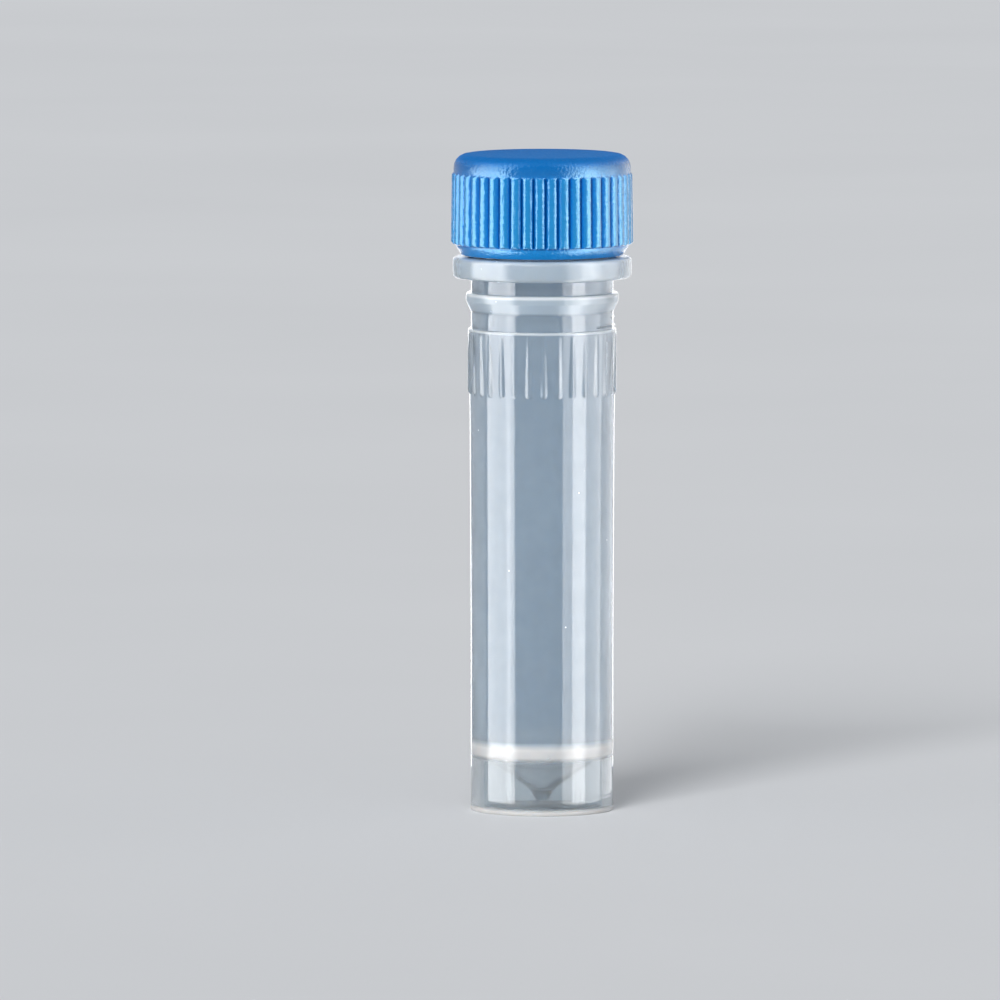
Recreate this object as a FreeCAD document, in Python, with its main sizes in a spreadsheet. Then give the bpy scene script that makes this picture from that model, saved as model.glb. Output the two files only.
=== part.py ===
import FreeCAD, Part
import math
import os

import Sketcher

# Self-standing 2 ml cryovial: a clear tube with an outside thread, a ribbed screw cap and a
# silicone seal ring. The origin is the middle of the standing edge, +Z points up the tube's
# axis and -Y is the front. All lengths are millimetres and all angles are degrees.

DIMENSIONS = (
    # Standing skirt and cone floor
    ("foot_radius", 5.235, "outside of the standing edge"),
    ("foot_height", 1.2, "height over which the foot narrows to the wall"),
    ("foot_rounding", 0.12, "rounding of the standing edge"),
    ("skirt_foot_bore", 4.40, "inside of the skirt at the standing edge"),
    ("skirt_bore", 4.35, "inside of the skirt where the cone starts"),
    ("skirt_depth", 4.09, "height of the skirt's hollow at its wall"),
    ("cone_foot_radius", 1.0, "radius where the cone's underside meets the gate nub"),
    ("cone_foot_height", 1.74, "height where the cone's underside meets the gate nub"),
    ("nub_rounding", 0.8, "concave flank between the cone and the gate nub"),
    ("nub_radius", 0.35, "radius of the gate nub"),
    ("nub_height", 0.78, "height of the gate nub's end"),
    # Bore
    ("tip_radius", 0.45, "start of the cone inside the bore"),
    ("tip_height", 1.79, "lowest point of the bore"),
    ("tip_rounding", 1.0, "rounded tip of the bore"),
    ("bore_radius", 4.12, "bore at the cone's top"),
    ("floor_height", 4.75, "height where the cone floor would meet the bore"),
    ("floor_rounding", 1.2, "rounding between cone floor and bore"),
    ("mouth_radius", 4.30, "bore at the mouth"),
    ("rim_height", 45.7, "top of the tube"),
    ("rim_rounding", 0.15, "rounding of the rim's edges"),
    # Outer wall
    ("wall_radius", 5.19, "outside of the straight lower wall"),
    ("taper_start", 13.5, "height where the wall starts to widen"),
    ("flare_radius", 5.265, "outside of the wall where it starts to flare"),
    ("flare_start", 28.4, "height where the wall starts to flare"),
    ("band_radius", 5.295, "outside of the wall at the foot of the ribbed band"),
    ("band_start", 30.4, "foot of the ribbed band"),
    ("shoulder_radius", 5.40, "outside of the ribbed band at its top"),
    ("shoulder_height", 35.28, "top of the ribbed band"),
    ("shoulder_rounding", 0.12, "rounding of the shoulder's edge"),
    ("recess_radius", 5.175, "neck between shoulder and bead"),
    ("bead_start", 36.49, "lower end of the bead's flare"),
    ("bead_radius", 5.555, "outside of the bead"),
    ("bead_flare_end", 37.29, "upper end of the bead's flare"),
    ("bead_top", 37.9, "top of the bead"),
    ("bead_rounding", 0.2, "rounding of the bead's edges"),
    ("groove_radius", 5.175, "groove between bead and flange"),
    ("flange_radius", 6.505, "outside of the flange"),
    ("flange_bottom", 38.98, "underside of the flange"),
    ("flange_top", 40.5, "upper face of the flange"),
    ("flange_rounding", 0.3, "rounding of the flange's edges"),
    ("neck_radius", 4.95, "outside of the neck between thread ridges"),
    # Ribs that lock the tube in a rack
    ("rib_count", 31, "number of ribs round the tube"),
    ("rib_crest", 5.43, "radius of the ribs' crests"),
    ("rib_rounding", 0.27, "radius of a rib's round section"),
    ("rib_bottom", 30.44, "lower end of a rib"),
    ("rib_top", 34.98, "upper end of a rib, just below the shoulder"),
    ("rib_azimuth", -88.7, "first rib from +X, almost at the front"),
    # Two short nibs in the recess
    ("nib_root", 5.05, "inner radius of the nibs"),
    ("nib_height", 0.16, "height of a nib's section"),
    ("lower_nib_level", 35.53, "height of the lower nib"),
    ("lower_nib_crest", 5.315, "outside of the lower nib"),
    ("lower_nib_azimuth", -12.5, "middle of the lower nib from +X"),
    ("lower_nib_span", 55, "angle that the lower nib covers"),
    ("upper_nib_level", 36.11, "height of the upper nib"),
    ("upper_nib_crest", 5.28, "outside of the upper nib"),
    ("upper_nib_azimuth", 0.5, "middle of the upper nib from +X"),
    ("upper_nib_span", 30, "angle that the upper nib covers"),
    # Thread, the same pitch and ridge on tube and cap
    ("thread_pitch", 2.5, "rise of the thread in one turn"),
    ("thread_turns", 1.3, "turns of each ridge"),
    ("ridge_base", 0.9, "width of a ridge at its root"),
    ("ridge_crest", 0.45, "width of a ridge at its crest"),
    ("ridge_sink", 0.08, "depth of a ridge's root inside its wall"),
    ("tube_ridge_radius", 5.4, "crest of the tube's ridge"),
    ("tube_ridge_start", 41.85, "height of the tube ridge's lower end"),
    ("cap_ridge_radius", 5.05, "crest of the cap's ridge"),
    ("ridge_offset", 0.73, "distance of the cap's ridge below the tube's, flanks nearly touching"),
    # Cap, outside
    ("cap_top", 48.0, "top of the cap"),
    ("dome_radius", 6.455, "outside of the cap above the grip ribs"),
    ("dome_rounding", 1.0, "rounding of the cap's top edge"),
    ("grip_top", 46.55, "upper end of the grip ribs"),
    ("grip_top_radius", 6.595, "crest of the grip ribs at their upper end"),
    ("grip_bottom", 41.46, "lower end of the grip ribs"),
    ("grip_bottom_radius", 6.665, "crest of the grip ribs at their lower end"),
    ("undercut_radius", 6.27, "cap below the grip ribs"),
    ("undercut_height", 41.25, "start of the chamfer below the grip ribs"),
    ("cap_bottom", 40.65, "lower edge of the cap"),
    ("cap_bottom_radius", 5.88, "outside of the cap's lower edge"),
    ("groove_count", 45, "number of grooves between grip ribs"),
    ("groove_azimuth", -87.5, "first groove from +X, just beside the front"),
    ("groove_floor", 6.28, "distance of a groove's floor from the axis"),
    ("groove_width", 0.12, "width of a groove's floor"),
    ("groove_taper", 38.0, "slope of a groove's flanks"),
    ("groove_arch", 46.49, "top of the groove floor's arch"),
    ("groove_depth", 0.6, "depth of the groove's cut, more than the rib stands out"),
    # Cap, inside
    ("cap_mouth_radius", 5.68, "inside of the cap's lower edge"),
    ("cap_lead", 0.25, "height of the lead-in chamfer"),
    ("cap_bore", 5.56, "inside of the cap's wall"),
    ("ceiling_height", 46.7, "underside of the cap's top"),
    ("plug_radius", 4.13, "outside of the plug that enters the tube's mouth"),
    ("plug_bore", 3.5, "inside of the plug"),
    ("plug_bottom", 44.9, "lower end of the plug"),
    ("plug_lead", 0.15, "chamfer of the plug's lower edge"),
    # Seal ring
    ("ring_gap", 0.03, "space between the ring and what it touches"),
    ("ring_width", 1.18, "width of the ring's section"),
    ("ring_rounding", 0.4, "rounding of the ring's section"),
)

VALUES = {alias: value for alias, value, meaning in DIMENSIONS}
SHEET = "Dims"


class Length:
    """A size that carries its value and the sheet formula that drives it."""

    def __init__(self, value, formula):
        self.value = value
        self.formula = formula

    def __add__(self, other):
        return Length(self.value + other.value, f"({self.formula} + {other.formula})")

    def __sub__(self, other):
        return Length(self.value - other.value, f"({self.formula} - {other.formula})")

    def half(self):
        return Length(self.value / 2, f"({self.formula} / 2)")


def size(alias):
    """The length in the sheet's cell of that name."""
    return Length(VALUES[alias], f"{SHEET}.{alias}")


AXIS = Length(0.0, "0")
GROUND = Length(0.0, "0")
QUARTER_TURN = Length(90.0, "90")


def make_sheet(document):
    """Writes the driving dimensions, one row each, with an alias for every value."""
    sheet = document.addObject("Spreadsheet::Sheet", SHEET)
    for row, (alias, value, meaning) in enumerate(DIMENSIONS, start=1):
        sheet.set(f"A{row}", meaning)
        sheet.set(f"B{row}", str(value))
        sheet.setAlias(f"B{row}", alias)
    document.recompute()
    return sheet


def origin_part(body, role):
    """A plane or axis of the body's own origin."""
    return next(item for item in body.Origin.OriginFeatures if item.Role == role)


def new_body(document, name, label):
    body = document.addObject("PartDesign::Body", name)
    body.Label = label
    body.Placement = FreeCAD.Placement()
    return body


def new_sketch(body, name, azimuth=None, stand_off=None):
    """An upright sketch: across is the distance from the axis, up is height.

    It lies in the XZ plane, or in that plane turned by an azimuth, and a stand-off then
    moves it square out of the axis. The sheet drives both.
    """
    sketch = body.newObject("Sketcher::SketchObject", name)
    sketch.AttachmentSupport = [(origin_part(body, "XZ_Plane"), "")]
    sketch.MapMode = "FlatFace"
    if azimuth is not None:
        turn = FreeCAD.Rotation(FreeCAD.Vector(0, 1, 0), azimuth.value)
        sketch.AttachmentOffset = FreeCAD.Placement(FreeCAD.Vector(), turn)
        sketch.setExpression(".AttachmentOffset.Rotation.Angle", azimuth.formula)
    if stand_off is not None:
        angle = f"{azimuth.formula} * 1 deg"
        sketch.setExpression(".AttachmentOffset.Base.x", f"{stand_off.formula} * sin({angle})")
        sketch.setExpression(".AttachmentOffset.Base.z", f"{stand_off.formula} * cos({angle})")
    return sketch


class Drawing:
    """Collects a sketch's geometry and constraints, and binds each length to the sheet."""

    def __init__(self, sketch):
        self.sketch = sketch
        self.geometry = []
        self.constraints = []
        self.bound = []

    def add(self, shape):
        self.geometry.append(shape)
        return len(self.geometry) - 1

    def fix(self, *terms):
        self.constraints.append(Sketcher.Constraint(*terms))

    def measure(self, kind, *terms, length):
        """Adds a dimension whose value comes from the sheet."""
        self.bound.append((len(self.constraints), length.formula))
        self.fix(kind, *terms, length.value)

    def place(self, item, point, across, up):
        """Holds a point at its distance from the axis and its height."""
        if across.value == 0:
            self.fix("PointOnObject", item, point, -2)
        else:
            self.measure("DistanceX", -1, 1, item, point, length=across)
        if up.value == 0:
            self.fix("PointOnObject", item, point, -1)
        else:
            self.measure("DistanceY", -1, 1, item, point, length=up)

    def finish(self):
        self.sketch.addGeometry(self.geometry, False)
        self.sketch.addConstraint(self.constraints)
        for number, (index, formula) in enumerate(self.bound):
            name = f"size{number}"
            self.sketch.renameConstraint(index, name)
            self.sketch.setExpression(f"Constraints.{name}", formula)
        self.sketch.Document.recompute()


def draw_outline(sketch, corners):
    """Draws a closed outline; each corner is (across, up) or (across, up, rounding)."""
    drawing = Drawing(sketch)
    count = len(corners)
    points = [FreeCAD.Vector(corner[0].value, corner[1].value, 0) for corner in corners]
    entries = []
    exits = []
    for number, point in enumerate(points):
        arriving = (point - points[number - 1]).normalize()
        leaving = (points[(number + 1) % count] - point).normalize()
        reach = 0.0
        if len(corners[number]) == 3:
            turn = arriving.getAngle(leaving)
            reach = corners[number][2].value * math.tan(turn / 2)
        entries.append(point - arriving * reach)
        exits.append(point + leaving * reach)
    lines = []
    for number in range(count):
        lines.append(drawing.add(Part.LineSegment(exits[number], entries[(number + 1) % count])))
    for number, corner in enumerate(corners):
        before = lines[number - 1]
        after = lines[number]
        if len(corner) == 2:
            drawing.fix("Coincident", before, 2, after, 1)
            drawing.place(after, 1, corner[0], corner[1])
        else:
            draw_rounding(drawing, corner, before, after, entries[number], exits[number])
    drawing.finish()


def draw_rounding(drawing, corner, before, after, entry, leave):
    """Joins two lines by a tangent arc; the sharp corner stays as a point that is placed."""
    across, up, rounding = corner
    point = FreeCAD.Vector(across.value, up.value, 0)
    middle = (entry + leave) * 0.5
    towards = (middle - point).normalize()
    reach = (entry - point).Length
    centre = point + towards * math.hypot(reach, rounding.value)
    start, end = entry, leave
    left_turn = (point - entry).cross(leave - point).z > 0
    if not left_turn:
        start, end = leave, entry
    first = math.atan2(start.y - centre.y, start.x - centre.x)
    last = math.atan2(end.y - centre.y, end.x - centre.x)
    circle = Part.Circle(centre, FreeCAD.Vector(0, 0, 1), rounding.value)
    arc = drawing.add(Part.ArcOfCircle(circle, first, last))
    tip = drawing.add(Part.Point(point))
    arc_entry, arc_exit = (1, 2) if left_turn else (2, 1)
    drawing.fix("Tangent", before, 2, arc, arc_entry)
    drawing.fix("Tangent", after, 1, arc, arc_exit)
    drawing.fix("PointOnObject", tip, 1, before)
    drawing.fix("PointOnObject", tip, 1, after)
    drawing.place(tip, 1, across, up)
    drawing.measure("Radius", arc, length=rounding)


def revolve(body, name, corners):
    """Turns a closed outline once round the body's vertical axis."""
    sketch = new_sketch(body, f"{name}Sketch")
    draw_outline(sketch, corners)
    feature = body.newObject("PartDesign::Revolution", name)
    feature.Profile = sketch
    feature.ReferenceAxis = (sketch, ["V_Axis"])
    feature.Angle = 360.0
    feature.Refine = True
    body.Document.recompute()
    return feature


def add_thread(body, name, root, crest, level):
    """Sweeps a trapezium ridge up a right-hand helix, from the +X side."""
    sketch = new_sketch(body, f"{name}Sketch")
    base = size("ridge_base").half()
    top = size("ridge_crest").half()
    draw_outline(
        sketch,
        (
            (root, level - base),
            (crest, level - top),
            (crest, level + top),
            (root, level + base),
        ),
    )
    helix = body.newObject("PartDesign::AdditiveHelix", name)
    helix.Profile = sketch
    helix.ReferenceAxis = (sketch, ["V_Axis"])
    helix.Mode = "pitch-turns-angle"
    helix.setExpression("Pitch", f"{SHEET}.thread_pitch")
    helix.setExpression("Turns", f"{SHEET}.thread_turns")
    helix.LeftHanded = False
    helix.Reversed = False
    body.Document.recompute()
    return helix


def repeat_round_axis(body, name, feature, count_alias):
    """Repeats a feature evenly round the body's vertical axis."""
    pattern = body.newObject("PartDesign::PolarPattern", name)
    pattern.Originals = [feature]
    pattern.Axis = (origin_part(body, "Z_Axis"), [""])
    pattern.Angle = 360.0
    pattern.setExpression("Occurrences", f"{SHEET}.{count_alias}")
    body.Tip = pattern
    body.Document.recompute()
    return pattern


def add_rib(body):
    """One upright rib with a round section and a ball-shaped lower end."""
    radius = size("rib_rounding")
    middle = size("rib_crest") - radius
    bottom = size("rib_bottom")
    top = size("rib_top")
    sketch = new_sketch(body, "RibSketch", size("rib_azimuth"))
    drawing = Drawing(sketch)
    low = FreeCAD.Vector(middle.value, bottom.value, 0)
    high = FreeCAD.Vector(middle.value, top.value, 0)
    inner_low = FreeCAD.Vector(middle.value - radius.value, bottom.value + radius.value, 0)
    inner_high = FreeCAD.Vector(middle.value - radius.value, top.value, 0)
    ball_middle = FreeCAD.Vector(middle.value, bottom.value + radius.value, 0)
    circle = Part.Circle(ball_middle, FreeCAD.Vector(0, 0, 1), radius.value)
    axis = drawing.add(Part.LineSegment(low, high))
    lid = drawing.add(Part.LineSegment(high, inner_high))
    side = drawing.add(Part.LineSegment(inner_high, inner_low))
    ball = drawing.add(Part.ArcOfCircle(circle, math.pi, 1.5 * math.pi))
    drawing.fix("Coincident", axis, 2, lid, 1)
    drawing.fix("Coincident", lid, 2, side, 1)
    drawing.fix("Coincident", side, 2, ball, 1)
    drawing.fix("Coincident", ball, 2, axis, 1)
    drawing.fix("Vertical", axis)
    drawing.fix("Vertical", side)
    drawing.fix("Horizontal", lid)
    drawing.fix("PointOnObject", ball, 3, axis)
    drawing.fix("Horizontal", ball, 3, ball, 1)
    drawing.place(axis, 1, middle, bottom)
    drawing.measure("DistanceY", -1, 1, axis, 2, length=top)
    drawing.measure("Radius", ball, length=radius)
    drawing.finish()
    rib = body.newObject("PartDesign::Revolution", "Rib")
    rib.Profile = sketch
    rib.ReferenceAxis = (sketch, ["Edge1"])
    rib.Angle = 360.0
    body.Document.recompute()
    return rib


def add_nib(body, which):
    """A short raised arc in the recess, from the root to its crest."""
    level = size(f"{which}_nib_level")
    crest = size(f"{which}_nib_crest")
    base = size("nib_height").half()
    name = f"{which.capitalize()}Nib"
    sketch = new_sketch(body, f"{name}Sketch", size(f"{which}_nib_azimuth"))
    draw_outline(
        sketch,
        (
            (size("nib_root"), level - base),
            (crest, level - base.half()),
            (crest, level + base.half()),
            (size("nib_root"), level + base),
        ),
    )
    nib = body.newObject("PartDesign::Revolution", name)
    nib.Profile = sketch
    nib.ReferenceAxis = (sketch, ["V_Axis"])
    nib.setExpression("Angle", f"{SHEET}.{which}_nib_span")
    nib.Midplane = True
    body.Document.recompute()
    return nib


def make_tube(document):
    """One moulding: skirt, cone floor, ribbed wall, bead, flange and threaded neck."""
    body = new_body(document, "Tube", "tube")
    rim = size("rim_rounding")
    bead = size("bead_rounding")
    flange = size("flange_rounding")
    revolve(
        body,
        "Wall",
        (
            (AXIS, size("nub_height")),
            (size("nub_radius"), size("nub_height")),
            (size("cone_foot_radius"), size("cone_foot_height"), size("nub_rounding")),
            (size("skirt_bore"), size("skirt_depth")),
            (size("skirt_foot_bore"), GROUND, size("foot_rounding")),
            (size("foot_radius"), GROUND, size("foot_rounding")),
            (size("wall_radius"), size("foot_height")),
            (size("wall_radius"), size("taper_start")),
            (size("flare_radius"), size("flare_start")),
            (size("band_radius"), size("band_start")),
            (size("shoulder_radius"), size("shoulder_height"), size("shoulder_rounding")),
            (size("recess_radius"), size("shoulder_height")),
            (size("recess_radius"), size("bead_start")),
            (size("bead_radius"), size("bead_flare_end"), bead),
            (size("bead_radius"), size("bead_top"), bead),
            (size("groove_radius"), size("bead_top")),
            (size("groove_radius"), size("flange_bottom")),
            (size("flange_radius"), size("flange_bottom"), flange),
            (size("flange_radius"), size("flange_top"), flange),
            (size("neck_radius"), size("flange_top")),
            (size("neck_radius"), size("rim_height"), rim),
            (size("mouth_radius"), size("rim_height"), rim),
            (size("bore_radius"), size("floor_height"), size("floor_rounding")),
            (size("tip_radius"), size("tip_height"), size("tip_rounding")),
            (AXIS, size("tip_height")),
        ),
    )
    rib = add_rib(body)
    repeat_round_axis(body, "Ribs", rib, "rib_count")
    add_nib(body, "lower")
    add_nib(body, "upper")
    add_thread(
        body,
        "NeckThread",
        size("neck_radius") - size("ridge_sink"),
        size("tube_ridge_radius"),
        size("tube_ridge_start"),
    )
    return body


def cut_grip_groove(body):
    """One upright groove with an arched top and a flat floor, cut from the outside."""
    width = size("groove_width")
    low = size("undercut_height")
    spring = size("groove_arch") - width.half()
    facing = size("groove_azimuth") + QUARTER_TURN
    sketch = new_sketch(body, "GrooveSketch", facing, size("groove_floor"))
    half = width.value / 2
    circle = Part.Circle(FreeCAD.Vector(0, spring.value, 0), FreeCAD.Vector(0, 0, 1), half)
    low_left = FreeCAD.Vector(-half, low.value, 0)
    low_right = FreeCAD.Vector(half, low.value, 0)
    high_right = FreeCAD.Vector(half, spring.value, 0)
    high_left = FreeCAD.Vector(-half, spring.value, 0)
    drawing = Drawing(sketch)
    sill = drawing.add(Part.LineSegment(low_left, low_right))
    right = drawing.add(Part.LineSegment(low_right, high_right))
    arch = drawing.add(Part.ArcOfCircle(circle, 0, math.pi))
    left = drawing.add(Part.LineSegment(high_left, low_left))
    drawing.fix("Coincident", sill, 2, right, 1)
    drawing.fix("Coincident", left, 2, sill, 1)
    drawing.fix("Tangent", right, 2, arch, 1)
    drawing.fix("Tangent", left, 1, arch, 2)
    drawing.fix("Vertical", right)
    drawing.fix("Vertical", left)
    drawing.fix("Symmetric", sill, 1, sill, 2, -2)
    drawing.measure("DistanceX", sill, 1, sill, 2, length=width)
    drawing.measure("DistanceY", -1, 1, sill, 1, length=low)
    drawing.measure("DistanceY", -1, 1, arch, 3, length=spring)
    drawing.finish()
    pocket = body.newObject("PartDesign::Pocket", "Groove")
    pocket.Profile = sketch
    pocket.Type = 0
    pocket.Reversed = True
    pocket.setExpression("Length", f"{SHEET}.groove_depth")
    pocket.setExpression("TaperAngle", f"{SHEET}.groove_taper")
    body.Document.recompute()
    return pocket


def make_cap(document):
    """Screw cap: domed top, grip ribs, inside thread and a ring-shaped plug."""
    body = new_body(document, "ScrewCap", "screw_cap")
    shell = revolve(
        body,
        "Shell",
        (
            (AXIS, size("cap_top")),
            (size("dome_radius"), size("cap_top"), size("dome_rounding")),
            (size("dome_radius"), size("grip_top")),
            (size("grip_top_radius"), size("grip_top")),
            (size("grip_bottom_radius"), size("grip_bottom")),
            (size("undercut_radius"), size("grip_bottom")),
            (size("undercut_radius"), size("undercut_height")),
            (size("cap_bottom_radius"), size("cap_bottom")),
            (size("cap_mouth_radius"), size("cap_bottom")),
            (size("cap_bore"), size("cap_bottom") + size("cap_lead")),
            (size("cap_bore"), size("ceiling_height")),
            (size("plug_radius"), size("ceiling_height")),
            (size("plug_radius"), size("plug_bottom") + size("plug_lead")),
            (size("plug_radius") - size("plug_lead"), size("plug_bottom")),
            (size("plug_bore"), size("plug_bottom")),
            (size("plug_bore"), size("ceiling_height")),
            (AXIS, size("ceiling_height")),
        ),
    )
    groove = cut_grip_groove(body)
    grooves = repeat_round_axis(body, "Grooves", groove, "groove_count")
    if not grooves.Shape.Volume < groove.Shape.Volume < shell.Shape.Volume:
        raise RuntimeError("the grip grooves cut nothing")
    add_thread(
        body,
        "CapThread",
        size("cap_bore") + size("ridge_sink"),
        size("cap_ridge_radius"),
        size("tube_ridge_start") - size("ridge_offset"),
    )
    return body


def make_ring(document):
    """Silicone ring round the plug, between the tube's rim and the cap's ceiling."""
    body = new_body(document, "SealRing", "seal_ring")
    gap = size("ring_gap")
    rounding = size("ring_rounding")
    inner = size("plug_radius") + gap
    outer = inner + size("ring_width")
    bottom = size("rim_height") + gap
    top = size("ceiling_height") - gap
    revolve(
        body,
        "Section",
        (
            (inner, bottom, rounding),
            (outer, bottom, rounding),
            (outer, top, rounding),
            (inner, top, rounding),
        ),
    )
    return body


def check_document(document, parts):
    """Stops before anything is written if a feature failed or a shape is unsound."""
    for item in document.Objects:
        if "Invalid" in item.State or "Error" in item.State:
            raise RuntimeError(f"{item.Name} did not compute: {item.State}")
    for part in parts:
        shape = part.Shape
        if shape.isNull() or not shape.isValid() or len(shape.Solids) != 1:
            raise RuntimeError(f"{part.Label} is not one valid solid")


def main():
    document = FreeCAD.newDocument("Cryovial")
    make_sheet(document)
    parts = (make_tube(document), make_cap(document), make_ring(document))
    document.recompute()
    check_document(document, parts)
    os.makedirs("parts", exist_ok=True)
    for part in parts:
        part.Shape.exportStep(f"parts/{part.Label}.step")
        print(f"{part.Label}: volume {part.Shape.Volume:.2f} mm3, {len(part.Shape.Faces)} faces")


main()
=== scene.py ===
# %% [markdown]
# # A cryovial, turned and dressed in Blender
#
# A cryovial is a small plastic tube that keeps a frozen sample. This one stands by itself on a
# short skirt, has fine ribs under its shoulder that lock it in a rack, and closes with a ribbed
# screw cap over a soft seal ring.
#
# A construction model of it already exists, with the real sizes. This lesson loads that model
# as a fixed frame, and then makes finer pieces that take its place: the tube, the cap and the
# ring are all turned from an outline, the way a potter's profile makes a vase, because every
# one of them is round. Then they get their plastics, a floor, soft lamps and a camera.

# %% Load the frame
import math
from collections import defaultdict

import bmesh
import bpy
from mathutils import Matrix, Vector


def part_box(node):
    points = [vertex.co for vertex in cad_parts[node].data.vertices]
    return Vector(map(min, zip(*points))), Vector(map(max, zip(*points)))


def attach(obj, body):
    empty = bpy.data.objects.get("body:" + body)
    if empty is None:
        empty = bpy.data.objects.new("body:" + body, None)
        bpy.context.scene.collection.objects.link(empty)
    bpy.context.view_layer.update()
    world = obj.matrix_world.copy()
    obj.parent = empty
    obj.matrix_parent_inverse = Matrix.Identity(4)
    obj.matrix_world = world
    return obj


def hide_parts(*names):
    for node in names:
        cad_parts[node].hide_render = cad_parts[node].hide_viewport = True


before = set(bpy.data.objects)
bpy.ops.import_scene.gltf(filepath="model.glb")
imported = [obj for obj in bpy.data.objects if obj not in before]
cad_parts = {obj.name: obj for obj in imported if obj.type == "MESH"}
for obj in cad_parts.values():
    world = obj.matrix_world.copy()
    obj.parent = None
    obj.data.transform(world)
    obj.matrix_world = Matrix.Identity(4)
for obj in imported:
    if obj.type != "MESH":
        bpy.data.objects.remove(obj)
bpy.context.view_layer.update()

MM = 0.001

# %% [markdown]
# ## Tools for turning
#
# Blender's operators act on whatever is selected, so each step begins by letting go of
# everything. After that come three small tools that we use for all three pieces:
#
# * `draw_outline` starts from a primitive, shrinks it to one point and extrudes that point
#   from corner to corner. A corner that asks for it is rounded with the bevel operator.
# * `turn_outline` spins the outline once round the vertical axis.
# * `scale_from_axis` moves chosen points nearer to the axis or further from it.
#
# A ready-made cylinder would be quicker, but its edges would be knife sharp. The rounded
# corners are what catches the light on a moulded part.

# %% Select and let go
def let_go():
    """Leaves edit mode and deselects every object."""
    if bpy.context.object is not None and bpy.context.object.mode != "OBJECT":
        bpy.ops.object.mode_set(mode="OBJECT")
    bpy.ops.object.select_all(action="DESELECT")


def take(piece):
    """Makes a piece the only selected one, and the active one."""
    let_go()
    piece.select_set(True)
    bpy.context.view_layer.objects.active = piece


def grab_points(piece, numbers):
    """Goes into edit mode with only these points of the piece selected."""
    take(piece)
    bpy.ops.object.mode_set(mode="EDIT")
    bpy.ops.mesh.select_mode(type="VERT")
    bpy.ops.mesh.select_all(action="DESELECT")
    shape = bmesh.from_edit_mesh(piece.data)
    shape.verts.ensure_lookup_table()
    for number in numbers:
        shape.verts[number].select_set(True)
    shape.select_flush(True)
    bmesh.update_edit_mesh(piece.data)


# %% Draw an outline
SAME_PLACE = 1e-3 * MM
SAME_CORNER = 1e-4 * MM
DEGREES_PER_FACET = 18


def flat(corner):
    """A corner's place in the XZ plane, in metres; corners are given in millimetres."""
    return Vector((corner[0] * MM, 0.0, corner[1] * MM))


def round_corner(piece, before, corner, after):
    """Bevels one corner of an outline so that an arc of the asked radius fits it."""
    arriving = flat(corner) - flat(before)
    leaving = flat(after) - flat(corner)
    turn = arriving.angle(leaving)
    place = flat(corner)
    points = enumerate(piece.data.vertices)
    numbers = [number for number, point in points if (point.co - place).length < SAME_PLACE]
    grab_points(piece, numbers)
    bpy.ops.mesh.bevel(
        offset=corner[2] * MM * math.tan(turn / 2),
        segments=max(3, round(math.degrees(turn) / DEGREES_PER_FACET)),
        affect="VERTICES",
    )
    bpy.ops.object.mode_set(mode="OBJECT")


def draw_outline(name, corners, closed=False):
    """Draws an outline through corners (radius, height) or (radius, height, rounding)."""
    let_go()
    bpy.ops.mesh.primitive_plane_add(size=MM, location=(0, 0, 0))
    piece = bpy.context.object
    piece.name = piece.data.name = name
    bpy.ops.object.mode_set(mode="EDIT")
    bpy.ops.mesh.select_mode(type="VERT")
    bpy.ops.mesh.select_all(action="SELECT")
    bpy.ops.mesh.merge(type="CENTER")
    bpy.ops.transform.translate(value=flat(corners[0]))
    path = list(corners) + ([corners[0]] if closed else [])
    for before, corner in zip(path, path[1:]):
        step = flat(corner) - flat(before)
        bpy.ops.mesh.extrude_region_move(TRANSFORM_OT_translate={"value": step})
    bpy.ops.mesh.select_all(action="SELECT")
    bpy.ops.mesh.remove_doubles(threshold=SAME_CORNER)
    bpy.ops.object.mode_set(mode="OBJECT")
    for number, corner in enumerate(corners):
        if len(corner) == 3:
            round_corner(piece, corners[number - 1], corner, path[number + 1])
    return piece


# %% Spin an outline
def turn_outline(piece, columns, start_angle=0.0):
    """Spins an outline once round the Z axis, in that many columns from a start angle."""
    take(piece)
    piece.rotation_euler.z = math.radians(start_angle)
    bpy.ops.object.transform_apply(location=False, rotation=True, scale=False)
    bpy.ops.object.mode_set(mode="EDIT")
    bpy.ops.mesh.select_all(action="SELECT")
    bpy.ops.mesh.spin(steps=columns, angle=math.tau, center=(0, 0, 0), axis=(0, 0, 1))
    bpy.ops.mesh.select_all(action="SELECT")
    bpy.ops.mesh.remove_doubles(threshold=SAME_PLACE)
    bpy.ops.mesh.normals_make_consistent(inside=False)
    bpy.ops.object.mode_set(mode="OBJECT")
    print(piece.name, "has", len(piece.data.polygons), "faces")


# %% Move points towards the axis or away from it
def measure_point(point, start_angle):
    """Distance from the axis, height and angle from the start, in mm and degrees."""
    angle = math.degrees(math.atan2(point.co.y, point.co.x)) - start_angle
    return math.hypot(point.co.x, point.co.y) / MM, point.co.z / MM, angle % 360


def scale_from_axis(piece, factors):
    """Scales groups of points sideways from the axis: factors is {point number: factor}."""
    groups = defaultdict(list)
    for number, factor in factors.items():
        groups[round(factor, 5)].append(number)
    for factor, numbers in groups.items():
        grab_points(piece, numbers)
        bpy.ops.transform.resize(value=(factor, factor, 1), center_override=(0, 0, 0))
    let_go()
    print(piece.name, "was shaped in", len(groups), "moves")


# %% [markdown]
# ## The tube's wall
#
# The tube is one moulding. Its outline starts under the cone at the bottom, goes down the
# inside of the skirt, round the standing edge and up the wall to the shoulder. A narrow recess
# with a flared bead and a wide flange follows, then the neck and its rim, and at last the bore
# comes down inside to a cone with a rounded tip.
#
# It could be two cylinders and a solidify modifier. One outline is better here, because the
# light goes through the wall, and every small change of its thickness shows.

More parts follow.
